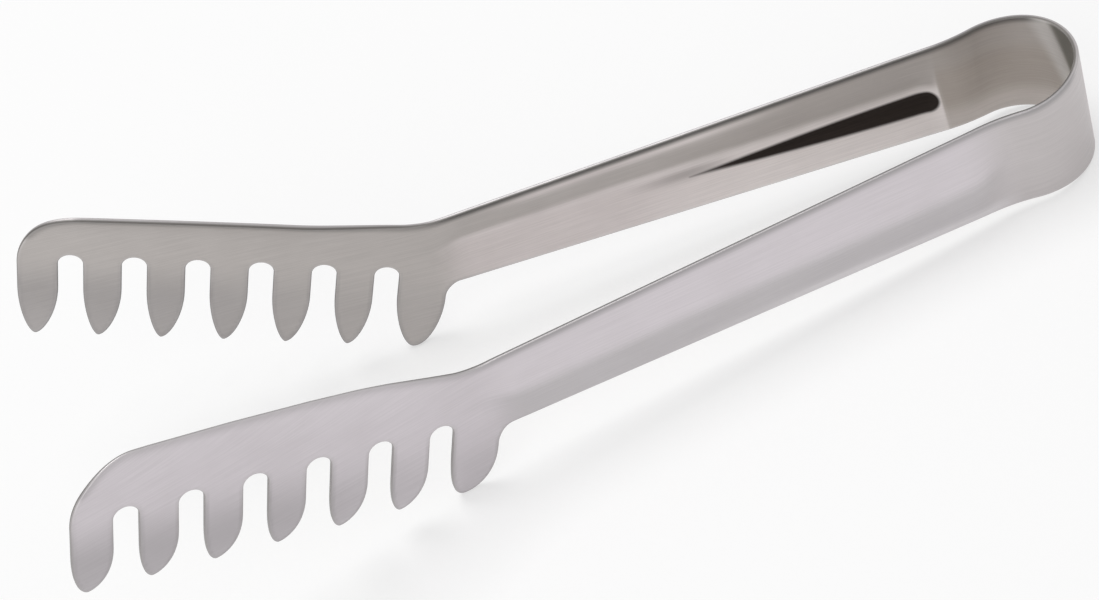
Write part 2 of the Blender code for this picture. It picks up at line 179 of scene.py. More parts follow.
@dataclass(frozen=True)
class Strip:
    """Form of the bent and pressed strip of sheet that all pieces share."""

    sheet: float = 1.0 * MM
    rim_radius: float = 0.3 * MM
    bow_radius: float = 13.2 * MM
    bow_close: float = math.radians(8.7)
    bow_width: float = 23.6 * MM
    shoulder_radius: float = 40.0 * MM
    splay: float = math.radians(4.45)
    handle_length: float = 107.8 * MM
    handle_width_rear: float = 21.9 * MM
    handle_width_neck: float = 16.5 * MM
    flare_start: float = 1.6 * MM
    flare_length: float = 20.0 * MM
    channel_depth_rear: float = 2.8 * MM
    channel_depth_neck: float = 2.1 * MM
    channel_start: float = 3.0 * MM
    channel_run_out: float = 10.0 * MM
    channel_fade: float = 8.0 * MM
    web_share: float = 0.08
    bend_share: float = 0.08
    neck_turn: float = math.radians(7.6)
    neck_turn_radius: float = 40.0 * MM
    neck_drop: float = 0.5 * MM
    neck_top_radius: float = 16.0 * MM
    neck_margin: float = 0.85 * MM
    comb_rise: float = math.radians(21.1)
    comb_top: float = 6.9 * MM
    comb_top_drop: float = 1.0 * MM
    comb_front: float = 82.25 * MM
    web_height: float = 11.1 * MM
    tooth_length: float = 19.3 * MM
    top_curl: float = 1.9 * MM
    top_curl_height: float = 6.3 * MM
    tip_curl: float = 2.2 * MM
    tip_curl_height: float = 11.0 * MM
    cup_run_in: float = 25.0 * MM
    tilt: float = math.radians(3.9755)
    stand_forward: float = 87.7163 * MM
    stand_height: float = 12.4374 * MM
    groove: Groove = Groove()

    @property
    def bow_arc(self) -> float:
        """Path distance from the crown to where the bow stops bending inwards."""
        return self.bow_radius * (math.pi / 2 + self.bow_close)

    @property
    def shoulder_length(self) -> float:
        """Length of the shoulder, which bends back from the bow to the splay of the arm."""
        return self.shoulder_radius * (self.bow_close + self.splay)

    @property
    def neck(self) -> float:
        """Path distance from the crown to the neck."""
        return self.bow_arc + self.handle_length

    @property
    def gap_top(self) -> float:
        """Height on the comb of the tops of the gaps between teeth."""
        return self.comb_top - self.web_height

    @property
    def tip(self) -> float:
        """Height on the comb of the tips of the teeth."""
        return self.gap_top - self.tooth_length

    @property
    def comb_to_blank(self) -> Matrix:
        """Move from the comb's own u and v to the blank's q and z."""
        turn = Matrix.Rotation(self.comb_rise, 4, "Z")
        return Matrix.Translation((self.neck, -self.neck_drop, 0.0)) @ turn

    def neck_top(self) -> tuple[Vector, Vector, Vector]:
        """Find the corner where the handle's top edge turns up into the comb's.

        Returns:
            The corner on the blank, the direction of the handle's edge and that of the comb's edge.
        """
        taper = (self.handle_width_rear - self.handle_width_neck) / 2 / self.handle_length
        handle_edge = Vector((1.0, -taper)).normalized()
        comb_start = (self.comb_to_blank @ Vector((0.0, self.comb_top, 0.0))).to_2d()
        front_height = self.comb_top - self.comb_top_drop
        comb_end = (self.comb_to_blank @ Vector((self.comb_front, front_height, 0.0))).to_2d()
        comb_edge = (comb_end - comb_start).normalized()
        edge_at_neck = Vector((self.neck, self.handle_width_neck / 2))
        return crossing(edge_at_neck, handle_edge, comb_start, comb_edge), handle_edge, comb_edge

    def handle_end(self) -> float:
        """Path distance of the border between handle and comb, just before the top edge starts to turn."""
        corner, handle_edge, comb_edge = self.neck_top()
        rounding = self.neck_top_radius * math.tan(handle_edge.angle(comb_edge) / 2)
        return corner.x - rounding * handle_edge.x - self.neck_margin

    def plan(self, q: np.ndarray) -> tuple[np.ndarray, np.ndarray, np.ndarray]:
        """Lay path distances along the curve of the right arm, seen from above.

        Args:
            q: Path distances from the crown.

        Returns:
            Their x and y, and the direction of the curve there as an angle.
        """
        turn = math.pi / 2 - np.minimum(q, self.bow_arc) / self.bow_radius
        opened = np.clip(q - self.bow_arc, 0.0, self.shoulder_length)
        shoulder = opened / self.shoulder_radius - self.bow_close
        neck_length = self.neck_turn_radius * self.neck_turn
        to_neck = np.minimum(q, self.neck - neck_length / 2)
        straight = np.maximum(to_neck - self.bow_arc - self.shoulder_length, 0.0)
        turned = np.clip(q - self.bow_arc - opened - straight, 0.0, neck_length)
        neck = self.splay + turned / self.neck_turn_radius
        beyond = np.maximum(q - self.bow_arc - opened - straight - turned, 0.0)
        x = self.bow_radius * np.sin(turn)
        y = self.bow_radius * np.cos(turn)
        x -= (
            self.shoulder_radius * (np.sin(shoulder) + math.sin(self.bow_close))
            + straight * math.cos(self.splay)
        )
        y += (
            self.shoulder_radius * (math.cos(self.bow_close) - np.cos(shoulder))
            + straight * math.sin(self.splay)
        )
        x -= self.neck_turn_radius * (np.sin(neck) - math.sin(self.splay)) + beyond * np.cos(neck)
        y += self.neck_turn_radius * (math.cos(self.splay) - np.cos(neck)) + beyond * np.sin(neck)
        heading = np.where(q < self.bow_arc, turn, np.where(turned > 0.0, neck, shoulder))
        return x, y, heading

    def width(self, q: np.ndarray) -> np.ndarray:
        """Width of the strip from the bow to the neck at path distances q."""
        along = np.maximum((q - self.bow_arc) / self.handle_length, 0.0)
        taper = self.handle_width_rear + along * (self.handle_width_neck - self.handle_width_rear)
        flare = smooth((self.bow_arc + self.flare_start - q) / self.flare_length)
        return taper + flare * (self.bow_width - self.handle_width_rear)

    def height(self, q: np.ndarray, z: np.ndarray) -> np.ndarray:
        """Height v across the comb of points of the blank."""
        return (z + self.neck_drop) * math.cos(self.comb_rise) - (q - self.neck) * math.sin(self.comb_rise)

    def channel_section(self, share: np.ndarray) -> np.ndarray:
        """Section of the channel: two wide straight flanges that meet in a rounded fold.

        Args:
            share: Distances from the middle of the strip, as shares of half its width.

        Returns:
            Depths as shares of the full depth, from 1 at the fold to 0 at the ends of the flanges.
        """
        past = share - self.web_share
        flange = 1.0 - self.web_share
        bend = 1.0 - (past + self.bend_share) ** 2 / (4.0 * self.bend_share * flange)
        straight = 1.0 - past / flange
        return np.where(past < -self.bend_share, 1.0, np.where(past < self.bend_share, bend, straight))

    def pressed(self, q: np.ndarray, z: np.ndarray) -> np.ndarray:
        """Work out how far pressing moves points of the blank outwards from the bent sheet.

        Args:
            q: Path distances from the crown.
            z: Places across the strip.

        Returns:
            Distances outwards, in metres.
        """
        s = q - self.bow_arc
        along = np.clip(s / self.handle_length, 0.0, 1.0)
        depth = self.channel_depth_rear + along * (self.channel_depth_neck - self.channel_depth_rear)
        depth = depth * ramp(s, self.channel_start, self.channel_run_out)
        channel = depth * self.channel_section(np.abs(2.0 * z / self.width(q)))
        v = self.height(q, z)
        top = np.maximum(0.0, v - self.comb_top + self.top_curl_height) / self.top_curl_height
        tip = np.maximum(0.0, self.tip + self.tip_curl_height - v) / self.tip_curl_height
        curl = self.top_curl * top ** 2 * ramp(q, self.neck, self.cup_run_in)
        curl = curl + self.tip_curl * tip ** 2
        share = centred(q - self.neck, self.channel_fade)
        return (1.0 - share) * channel - share * curl

    def middle(self, q: np.ndarray, z: np.ndarray) -> np.ndarray:
        """Place points of the blank on the middle of the formed sheet of the right arm, one row each."""
        x, y, heading = self.plan(q)
        out = self.pressed(q, z)
        return np.stack([x + out * np.sin(heading), y + out * np.cos(heading), z], axis=1)

    def formed(self, blank: np.ndarray) -> np.ndarray:
        """Place points of the blank, also those off the middle of the sheet, on the formed right arm.

        Args:
            blank: Rows of q, z and t.

        Returns:
            Rows of x, y and z in the strip's own upright position.
        """
        q, z, t = blank.T
        along = self.middle(q + PROBE, z) - self.middle(q - PROBE, z)
        across = self.middle(q, z + PROBE) - self.middle(q, z - PROBE)
        outwards = np.cross(along, across)
        outwards /= np.linalg.norm(outwards, axis=1, keepdims=True)
        half = self.sheet / 2
        sunk = self.groove.sinking(q - self.bow_arc, z) * (half - t) / self.sheet
        return self.middle(q, z) + outwards * (t + sunk)[:, None]

    def formed_normals(self, blank: np.ndarray, normals: np.ndarray) -> np.ndarray:
        """Carry normals of the blank over to the formed right arm.

        Args:
            blank: Rows of q, z and t.
            normals: The blank's normal at each of them.

        Returns:
            The unit normals of the formed strip.
        """
        probes = 2.0 * PROBE * np.eye(3)
        ways = [self.formed(blank + probe) - self.formed(blank - probe) for probe in probes]
        turned = normals[:, 0:1] * np.cross(ways[1], ways[2])
        turned += normals[:, 1:2] * np.cross(ways[2], ways[0])
        turned += normals[:, 2:3] * np.cross(ways[0], ways[1])
        handedness = np.sign(np.einsum("ij,ij->i", np.cross(ways[0], ways[1]), ways[2]))
        return turned * handedness[:, None] / np.linalg.norm(turned, axis=1, keepdims=True)

    def stood(self, points: np.ndarray, side: Side, shift: bool = True) -> np.ndarray:
        """Turn points or normals of the right arm to where a side's arm stands on the table.

        Args:
            points: Rows of x, y and z in the strip's own upright position.
            side: The arm that they belong to.
            shift: Whether they are places, which move, or normals, which only turn.

        Returns:
            Rows of x, y and z in the model's frame.
        """
        x, y, z = points.T
        ahead = self.stand_forward if shift else 0.0
        up = self.stand_height if shift else 0.0
        cos, sin = math.cos(self.tilt), math.sin(self.tilt)
        return np.stack([x * cos + z * sin + ahead, side.value * y, z * cos - x * sin + up], axis=1)


@dataclass(frozen=True)
class Polish:
    """Where painted shade, painted highlights and painted reflections lie on the strip.

    Names that end in across are places across the strip, as shares of half its width. Starts and runs of the
    band and of the top line are shares of the handle's length.
    """

    # Painted highlight: a light line across the lower inner face where the channel ends; the bow's painted
    # inner shade also stops there.
    channel_rear: float = 8.5 * MM
    channel_end_highlight: float = 0.45 * MM
    bow_fade: float = 16.0 * MM
    bow_end: float = 1.6 * MM
    bow_end_fade: float = 8.0 * MM
    # Painted shade: the handle's outer face darker below its middle fold, standing in for the shadowed floor
    # it mirrors.
    fold_across: float = 0.03
    fold_width: float = 0.30
    # Painted reflection: the lower part of the handle's inner face lighter, where it mirrors the bright floor
    # in front.
    band_across_rear: float = -0.03
    band_across_neck: float = 0.12
    band_width: float = 0.26
    band_turn_start: float = 0.35
    band_turn_run: float = 0.4
    # Painted highlight: a light line on the inner face just below the top edge, over the middle and front of
    # the handle.
    top_highlight_across: float = 0.80
    top_highlight_width: float = 0.12
    top_highlight_start: float = 0.3
    top_highlight_run_in: float = 0.25
    top_highlight_end: float = 0.95
    top_highlight_run_out: float = 0.15
    # Painted shade: a dark band along the top cut edge, reaching a little onto the inner face and weaker on
    # the comb.
    top_edge_shade_width: float = 1.7 * MM
    top_edge_shade_start: float = 10.0 * MM
    top_edge_shade_run_in: float = 5.0 * MM
    top_edge_shade_low: float = 3.0 * MM
    top_edge_shade_fade: float = 2.0 * MM
    top_edge_shade_less_on_comb: float = 0.45
    # Painted highlight: a light line along the outer face near the lower edge, fading out towards the neck.
    low_highlight_across: float = -0.88
    low_highlight_width: float = 0.14
    # Painted shade: a faint dark streak on the inner face that runs on past the groove's point.
    mark_up: float = 0.9 * MM
    mark_width: float = 1.1 * MM
    mark_run_in: float = 12.0 * MM
    mark_run_out: float = 15.0 * MM
    neck_fade: float = 10.0 * MM
    # Painted shade: the teeth darken towards their curled tips, more towards the front of the comb.
    tooth_fade: float = 12.0 * MM
    tooth_above_gap: float = 1.0 * MM
    tooth_lead: float = 0.3
    tooth_start: float = 12.0 * MM
    tooth_run: float = 45.0 * MM
    tooth_least: float = 0.35
    # Painted shade: dark lines along the cut edges of the teeth.
    tooth_edge_shade_width: float = 0.9 * MM
    # Painted shade: the inside of the bow darker and warmer, fading towards its top and low edges.
    bow_top_light: float = 2.0 * MM
    bow_low_light: float = 4.0 * MM
    bow_light_fade: float = 5.0 * MM
    bow_top_share: float = 0.8
    bow_low_share: float = 0.35
    # Painted reflections: a dark patch at the crown on the bow's inside, with a light band beside it.
    crown_reach: float = 6.5 * MM
    crown_low: float = -3.0 * MM
    crown_edge: float = 3.0 * MM
    crown_light_reflection: float = 5.0 * MM
    crown_light_reflection_start: float = 1.5 * MM
    crown_light_reflection_fade: float = 4.0 * MM

    def masks(self, strip: Strip, q: np.ndarray, z: np.ndarray, edge: np.ndarray) -> dict[str, np.ndarray]:
        """Work out each painted shade, highlight and reflection at points of the blank.

        Args:
            strip: The strip that they are laid on.
            q: Path distances from the crown.
            z: Places across the strip.
            edge: Distances from the nearest cut edge.

        Returns:
            Shares from 0 to 1 by the name of each painted mark.
        """
        s = q - strip.bow_arc
        along = s / strip.handle_length
        across = 2.0 * z / strip.width(q)
        past_bow = ramp(s, self.bow_end, self.bow_end_fade)
        band_turn = ramp(along, self.band_turn_start, self.band_turn_run)
        band_across = self.band_across_rear + band_turn * (self.band_across_neck - self.band_across_rear)
        top_highlight = ramp(along, self.top_highlight_start, self.top_highlight_run_in)
        top_highlight = top_highlight * smooth((self.top_highlight_end - along) / self.top_highlight_run_out)
        past_point = s - strip.groove.rear - strip.groove.length
        mark = smooth(past_point / self.mark_run_in + 1.0) * smooth(1.0 - past_point / self.mark_run_out)

        towards_rims = self.bow_top_share * ramp(z, self.bow_top_light, self.bow_light_fade)
        towards_rims = towards_rims + self.bow_low_share * ramp(-z, self.bow_low_light, self.bow_light_fade)
        on_bow = 1.0 - smooth((s - self.channel_rear) / self.channel_end_highlight + 1.0)
        crown = self.crown_reach * (z - self.crown_low) / (strip.bow_width / 2 - self.crown_low)
        crown = np.maximum(crown, -0.5 * self.crown_edge) - q

        ahead = q - strip.neck
        on_comb = centred(ahead, self.neck_fade)
        height = strip.height(q, z)
        above = np.where(ahead < 0.0, z, height - strip.gap_top - self.top_edge_shade_low)
        top_side = smooth(above / self.top_edge_shade_fade) * centred(q - self.top_edge_shade_start, self.top_edge_shade_run_in)
        top_side = top_side * (1.0 - self.top_edge_shade_less_on_comb * on_comb)
        below_web = (strip.gap_top - height + self.tooth_above_gap) / self.tooth_fade
        tooth = smooth(below_web) * smooth(ahead / self.neck_fade + self.tooth_lead)
        towards_front = ramp(ahead, self.tooth_start, self.tooth_run)
        # Each mask below places painted shade, a painted highlight or a painted reflection.
        return {
            "bow_outside_shade": 1.0 - smooth(s / self.bow_fade),
            "bow_inside_shade": on_bow * (1.0 - towards_rims),
            "channel_end_highlight": hill(s - self.channel_rear, self.channel_end_highlight) * centred(-across, 1.0),
            "flange": centred(self.fold_across - across, self.fold_width) * (1.0 - on_comb) * past_bow,
            "reflection_band": centred(band_across - across, self.band_width) * (1.0 - on_comb),
            "top_highlight": hill(across - self.top_highlight_across, self.top_highlight_width) * top_highlight,
            "neckwards": band_turn,
            "top_edge_shade": (1.0 - smooth(edge / self.top_edge_shade_width)) * top_side,
            "tooth_edge_shade": (1.0 - smooth(edge / self.tooth_edge_shade_width)) * smooth(below_web + self.tooth_lead),
            "low_highlight": hill(across - self.low_highlight_across, self.low_highlight_width)
            * past_bow
            * (1.0 - band_turn),
            "mark": hill(z + strip.groove.drop_front - self.mark_up, self.mark_width) * mark,
            "tooth": tooth * (self.tooth_least + (1.0 - self.tooth_least) * towards_front),
            "crown_dark_reflection": centred(crown, self.crown_edge),
            "crown_light_reflection": centred(-crown, self.crown_light_reflection_start)
            * centred(crown + self.crown_light_reflection, self.crown_light_reflection_fade),
        }


@dataclass
class SheetPiece:
    """A length of the strip as one closed piece: blank, rounded rim, form and surface data."""

    side: Side
    strip: Strip
    polish: Polish = Polish()
    rim_segments: int = 4
    slot: ClassVar[str] = ""
    kind: ClassVar[str] = ""

    @property
    def name(self) -> str:
        """The piece's name, with its side."""
        return f"{self.side.word}_{self.kind}"

    def blank(self) -> bmesh.types.BMesh:
        """Make the piece flat, as a closed solid with q, z and t for x, y and z."""
        raise NotImplementedError

    def at_border(self, point: Vector) -> bool:
        """Tell whether a point of the blank lies on a border with the next piece."""
        raise NotImplementedError

    def edge_distance(self, blank: np.ndarray) -> np.ndarray:
        """Distance of points of the blank from the nearest cut edge of the sheet."""
        raise NotImplementedError

    def thicken(self, flat: bmesh.types.BMesh) -> None:
        """Give a flat face or grid the sheet's thickness and round its cut edges.

        Args:
            flat: The blank as one layer of faces in the plane of t = 0, changed in place.
        """
        half = self.strip.sheet / 2
        bmesh.ops.translate(flat, vec=(0.0, 0.0, -half), verts=flat.verts)
        grown = bmesh.ops.extrude_face_region(flat, geom=flat.faces[:])
        top = [part for part in grown["geom"] if isinstance(part, bmesh.types.BMVert)]
        bmesh.ops.translate(flat, vec=(0.0, 0.0, self.strip.sheet), verts=top)
        bmesh.ops.recalc_face_normals(flat, faces=flat.faces)
        flat.normal_update()
        rim = [edge for edge in flat.edges if self.is_cut_edge(edge)]
        round_off(flat, rim, self.strip.rim_radius, "EDGES", self.rim_segments)

    def is_cut_edge(self, edge: bmesh.types.BMEdge) -> bool:
        """Tell whether an edge of the thick blank runs along a cut side of the sheet."""
        walls = [abs(face.normal.z) < 0.5 for face in edge.link_faces]
        return sum(walls) == 1 and not all(self.at_border(vert.co) for vert in edge.verts)

    def open_borders(self, blank: bmesh.types.BMesh) -> None:
        """Take the faces away that lie in a border, so that they don't bend the normals beside them."""
        borders = [face for face in blank.faces if all(self.at_border(vert.co) for vert in face.verts)]
        bmesh.ops.delete(blank, geom=borders, context="FACES_ONLY")
        blank.normal_update()

    def blank_normals(self, blank: np.ndarray, rough: np.ndarray) -> np.ndarray:
        """Work out the exact normals of the blank with its rounded rim.

        Args:
            blank: Rows of q, z and t.
            rough: The mesh's own normals, right in direction along the rim.

        Returns:
            Unit normals of the blank.
        """
        radius = self.strip.rim_radius
        t = blank[:, 2]
        through = np.sign(t) * np.clip((np.abs(t) - self.strip.sheet / 2 + radius) / radius, 0.0, 1.0)
        sideways = rough[:, :2] / np.maximum(np.linalg.norm(rough[:, :2], axis=1, keepdims=True), 1e-9)
        return np.hstack([sideways * np.sqrt(1.0 - through ** 2)[:, None], through[:, None]])

    def build(self) -> bpy.types.Object:
        """Make the piece, form it and stand it in its place.

        Returns:
            The finished object, at the origin and with its place in its mesh.
        """
        shape = self.blank()
        self.open_borders(shape)
        mesh = bpy.data.meshes.new(self.name)
        shape.verts.index_update()
        rough = np.array([vert.normal for vert in shape.verts])
        bmesh.ops.holes_fill(shape, edges=[edge for edge in shape.edges if edge.is_boundary], sides=0)
        shape.to_mesh(mesh)
        shape.free()

        blank = np.zeros(len(mesh.vertices) * 3)
        mesh.vertices.foreach_get("co", blank)
        blank = blank.reshape(-1, 3)
        normals = self.strip.formed_normals(blank, self.blank_normals(blank, rough))
        places = self.strip.stood(self.strip.formed(blank), self.side)
        places[:, 2] = np.maximum(places[:, 2], 0.0)
        normals = self.strip.stood(normals, self.side, shift=False)
        mesh.vertices.foreach_set("co", places.ravel())
        if self.side is Side.LEFT:
            mesh.flip_normals()
        self.add_surface_data(mesh, blank)
        mesh.shade_smooth()
        mesh.update()
        mesh.normals_split_custom_set_from_vertices(normals.tolist())
        piece = bpy.data.objects.new(self.name, mesh)
        bpy.context.scene.collection.objects.link(piece)
        LOG.info("%s: %d faces", self.name, len(mesh.polygons))
        return piece

    def add_surface_data(self, mesh: bpy.types.Mesh, blank: np.ndarray) -> None:
        """Write the map along the strip and the masks that the finishes read.

        Args:
            mesh: The formed piece.
            blank: Rows of q, z and t of its points.
        """
        q, z, t = blank.T
        corners = np.zeros(len(mesh.loops), dtype=np.int64)
        mesh.loops.foreach_get("vertex_index", corners)
        apart = 0.5 if self.side is Side.LEFT else 0.0
        along = mesh.uv_layers.new(name="strip")
        along.data.foreach_set("uv", np.stack([q + apart, z + apart], axis=1)[corners].ravel())
        half = self.strip.sheet / 2
        edge = self.edge_distance(blank)
        masks = {
            "inner_face": (half - t) / self.strip.sheet,
            "rim": 1.0 - smooth((np.abs(t) - half) / (0.5 * self.strip.rim_radius) + 1.0),
            "edge_mm": np.clip(edge / MM, 0.0, 8.0),
            "groove_mm": np.clip(self.strip.groove.inside(q - self.strip.bow_arc, z) / MM, -3.0, 3.0),
            **self.polish.masks(self.strip, q, z, edge),
        }
        for name, values in masks.items():
            mask = mesh.attributes.new(name, "FLOAT", "POINT")
            mask.data.foreach_set("value", values.astype(np.float32))


@dataclass
class StripLength(SheetPiece):
    """A plain length of the strip, whose edges follow the strip's width."""

    column_step: float = 0.5 * MM
    row_step: float = 0.5 * MM

    def span(self) -> tuple[float, float]:
        """Path distances at which the piece starts and ends."""
        raise NotImplementedError

    def at_border(self, point: Vector) -> bool:
        """Tell whether a point of the blank lies on a border with the next piece."""
        return min(abs(point.x - end) for end in self.span()) < SAME_PLACE

    def edge_distance(self, blank: np.ndarray) -> np.ndarray:
        """Distance of points of the blank from the nearest cut edge of the sheet."""
        return self.strip.width(blank[:, 0]) / 2 - np.abs(blank[:, 1])

    def blank(self) -> bmesh.types.BMesh:
        """Make the length of strip flat, as a grid that follows the strip's width."""
        start, end = self.span()
        columns = math.ceil((end - start) / self.column_step)
        rows = math.ceil(self.strip.bow_width / self.row_step)
        flat = bmesh.new()
        bmesh.ops.create_grid(flat, x_segments=columns, y_segments=rows, size=0.5)
        for vert in flat.verts:
            q = start + (vert.co.x + 0.5) * (end - start)
            vert.co = (q, vert.co.y * float(self.strip.width(np.array(q))), 0.0)
        self.thicken(flat)
        return flat


@dataclass
class BowHalf(StripLength):
    """Half of the springing bow, curving from its crown round to the arm."""

    column_step: float = 0.35 * MM
    blend_share: float = 0.97
    slot: ClassVar[str] = "bow_steel"
    kind: ClassVar[str] = "bow_half"

    def span(self) -> tuple[float, float]:
        """Path distances at which the piece starts and ends."""
        return 0.0, self.strip.bow_arc

    def carry(self, piece: bpy.types.Object) -> None:
        """Bake the half's place into its mesh and hide the CAD nodes of the bow and its shoulder."""
        ends = np.array([[0.0, 0.0, 0.0], [self.strip.bow_arc, 0.0, 0.0]])
        crown, arm = self.strip.stood(self.strip.formed(ends), self.side)
        self.side.arm
        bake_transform(piece)
        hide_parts("spring_bow", f"{self.side.word}_shoulder")


@dataclass
class Handle(StripLength):
    """Channelled handle with the pointed groove in its inner face."""

    row_step: float = 0.52 * MM
    slot: ClassVar[str] = "handle_steel"
    kind: ClassVar[str] = "handle_skin"

    def span(self) -> tuple[float, float]:
        """Path distances at which the piece starts and ends."""
        return self.strip.bow_arc, self.strip.handle_end()

    def carry(self, piece: bpy.types.Object) -> None:
        """Let the handle move with its arm."""
        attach(piece, self.side.arm)
        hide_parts(f"{self.side.word}_handle")


@dataclass
class Comb(SheetPiece):
    """Neck and comb of rounded teeth, cupped towards the other comb."""

    tooth_count: int = 7
    tooth_pitch: float = 12.15 * MM
    gap_width: float = 4.8 * MM
    rear_gap: float = 11.3 * MM
    tip_taper: float = 10.5 * MM
    tip_power: float = 1.2
    tip_lean: float = 0.7 * MM
    top_bulge: float = 0.8 * MM
    front_radius: float = 13.0 * MM
    neck_low_radius: float = 5.0 * MM
    rear_tooth_back: float = 0.6 * MM
    rear_tip_taper: float = 11.5 * MM
    rear_tip_power: float = 1.05
    rear_tip_lean: float = -0.2 * MM
    arc_steps: int = 14
    top_steps: int = 5
    grid_step: float = 0.6 * MM
    outline: np.ndarray = field(init=False, repr=False)
    slot: ClassVar[str] = "comb_steel"
    kind: ClassVar[str] = "comb_skin"

    def at_border(self, point: Vector) -> bool:
        """Tell whether a point of the blank lies on the border with the handle."""
        return abs(point.x - self.strip.handle_end()) < SAME_PLACE

    def tooth_side(self, tip_u: float, side_u: float, taper: float, power: float) -> list[Vector]:
        """Trace half of a tooth's tip, a rounded point that swells to the tooth's side.

        Args:
            tip_u: Place of the tip along the comb.
            side_u: Place of the tooth's straight side along the comb.
            taper: Height over which the tooth swells.
            power: How blunt the point is.

        Returns:
            Points from the tip up to the side.
        """
        points = []
        for i in range(self.arc_steps + 1):
            angle = math.pi / 2 * i / self.arc_steps
            u = tip_u + (side_u - tip_u) * math.sin(angle) ** power
            points.append(Vector((u, self.strip.tip + taper * (1.0 - math.cos(angle)))))
        return points

    def corners(self) -> tuple[list[Vector], dict[int, float]]:
        """Trace the comb's outline with sharp corners, along the top and back along the teeth.

        Returns:
            The points in the comb's own u and v, and the radius of each corner that is rounded, by its place
            in the list.
        """
        strip = self.strip
        from_blank = strip.comb_to_blank.inverted()
        start, half_start = strip.handle_end(), float(strip.width(np.array(strip.handle_end()))) / 2
        half_neck = float(strip.width(np.array(strip.neck))) / 2
        seam_top = (from_blank @ Vector((start, half_start, 0.0))).to_2d()
        seam_low = (from_blank @ Vector((start, -half_start, 0.0))).to_2d()
        neck_edge = (from_blank @ Vector((strip.neck, -half_neck, 0.0))).to_2d() - seam_low
        turn_top = (from_blank @ strip.neck_top()[0].to_3d()).to_2d()
        rear_side = Vector((-self.rear_tooth_back, strip.tip))
        neck_low = crossing(seam_low, neck_edge, rear_side, Vector((0.0, 1.0)))

        front_top = Vector((strip.comb_front, strip.comb_top - strip.comb_top_drop))
        points = [seam_top, turn_top]
        for i in range(1, self.top_steps):
            along = i / self.top_steps
            bulge = 4.0 * self.top_bulge * along * (1.0 - along)
            points.append(turn_top.lerp(front_top, along) + Vector((0.0, bulge)))
        radii = {1: strip.neck_top_radius, len(points): self.front_radius}
        points.append(front_top)
        side_u = strip.comb_front
        for i in range(self.tooth_count - 1):
            gap = self.rear_gap + (self.tooth_count - 2 - i) * self.tooth_pitch
            tip_u = gap + self.tooth_pitch / 2 + self.tip_lean
            back_u = gap + self.gap_width / 2
            points += self.tooth_side(tip_u, side_u, self.tip_taper, self.tip_power)[::-1]
            points += self.tooth_side(tip_u, back_u, self.tip_taper, self.tip_power)[1:]
            side_u = gap - self.gap_width / 2
            radii[len(points)] = radii[len(points) + 1] = self.gap_width / 2 - 1e-4 * MM
            points += [Vector((back_u, strip.gap_top)), Vector((side_u, strip.gap_top))]
        tip_u = self.rear_gap - self.tooth_pitch / 2 + self.rear_tip_lean
        points += self.tooth_side(tip_u, side_u, self.rear_tip_taper, self.rear_tip_power)[::-1]
        points += self.tooth_side(tip_u, -self.rear_tooth_back, self.rear_tip_taper, self.rear_tip_power)[1:]
        radii[len(points)] = self.neck_low_radius
        points += [neck_low, seam_low]
        return points, radii

    def flat_face(self) -> bmesh.types.BMesh:
        """Make the comb's outline as one flat face in u and v, with its corners rounded.

        Returns:
            The face in a mesh of its own.
        """
        points, radii = self.corners()
        flat = bmesh.new()
        verts = [flat.verts.new(point.to_3d()) for point in points]
        bmesh.ops.contextual_create(flat, geom=[
            flat.edges.new((verts[i - 1], verts[i])) for i in range(len(verts))
        ])
        for place, radius in radii.items():
            back = points[place - 1] - points[place]
            on = points[(place + 1) % len(points)] - points[place]
            offset = radius / math.tan(back.angle(on) / 2)
            round_off(flat, [verts[place]], offset, "VERTICES", 2 * self.arc_steps)
        bmesh.ops.remove_doubles(flat, verts=flat.verts, dist=SAME_PLACE)
        bmesh.ops.transform(flat, matrix=self.strip.comb_to_blank, verts=flat.verts)
        return flat

    def blank(self) -> bmesh.types.BMesh:
        """Make the comb flat, cut into a fine grid so that it can bend."""
        shape = self.flat_face()
        shape.faces.ensure_lookup_table()
        self.outline = np.array([loop.vert.co[:2] for loop in shape.faces[0].loops])
        self.thicken(shape)
        turn = Matrix.Rotation(self.strip.comb_rise, 3, "Z")
        for way in (turn.col[0], turn.col[1]):
            places = [vert.co.dot(way) for vert in shape.verts]
            count = math.ceil((max(places) - min(places)) / self.grid_step)
            for i in range(1, count):
                place = min(places) + (max(places) - min(places)) * i / count
                bmesh.ops.bisect_plane(
                    shape,
                    geom=shape.verts[:] + shape.edges[:] + shape.faces[:],
                    dist=SAME_PLACE,
                    plane_co=way * place,
                    plane_no=way,
                )
        return shape

    def edge_distance(self, blank: np.ndarray) -> np.ndarray:
        """Distance of points of the blank from the nearest cut edge of the sheet."""
        ends = np.roll(self.outline, -1, axis=0)
        beyond = np.minimum(self.outline[:, 0], ends[:, 0]) - self.strip.handle_end()
        cut = np.maximum(self.outline[:, 0], ends[:, 0]) - self.strip.handle_end() + beyond > 1e-2 * MM
        nearest = np.full(len(blank), np.inf)
        for start, way in zip(self.outline[cut], (ends - self.outline)[cut]):
            gone = blank[:, :2] - start
            share = np.clip(gone @ way / max(way @ way, 1e-18), 0.0, 1.0)
            nearest = np.minimum(nearest, np.linalg.norm(gone - share[:, None] * way, axis=1))
        return nearest

    def carry(self, piece: bpy.types.Object) -> None:
        """Let the comb move with its arm."""
        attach(piece, self.side.arm)
        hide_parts(f"{self.side.word}_comb")


def from_srgb(red: int, green: int, blue: int) -> Colour:
    """Turn a colour as a screen shows it, each part from 0 to 255, into linear light."""
    shares = [part / 255.0 for part in (red, green, blue)]
    return tuple(share / 12.92 if share <= 0.04045 else ((share + 0.055) / 1.055) ** 2.4 for share in shares)


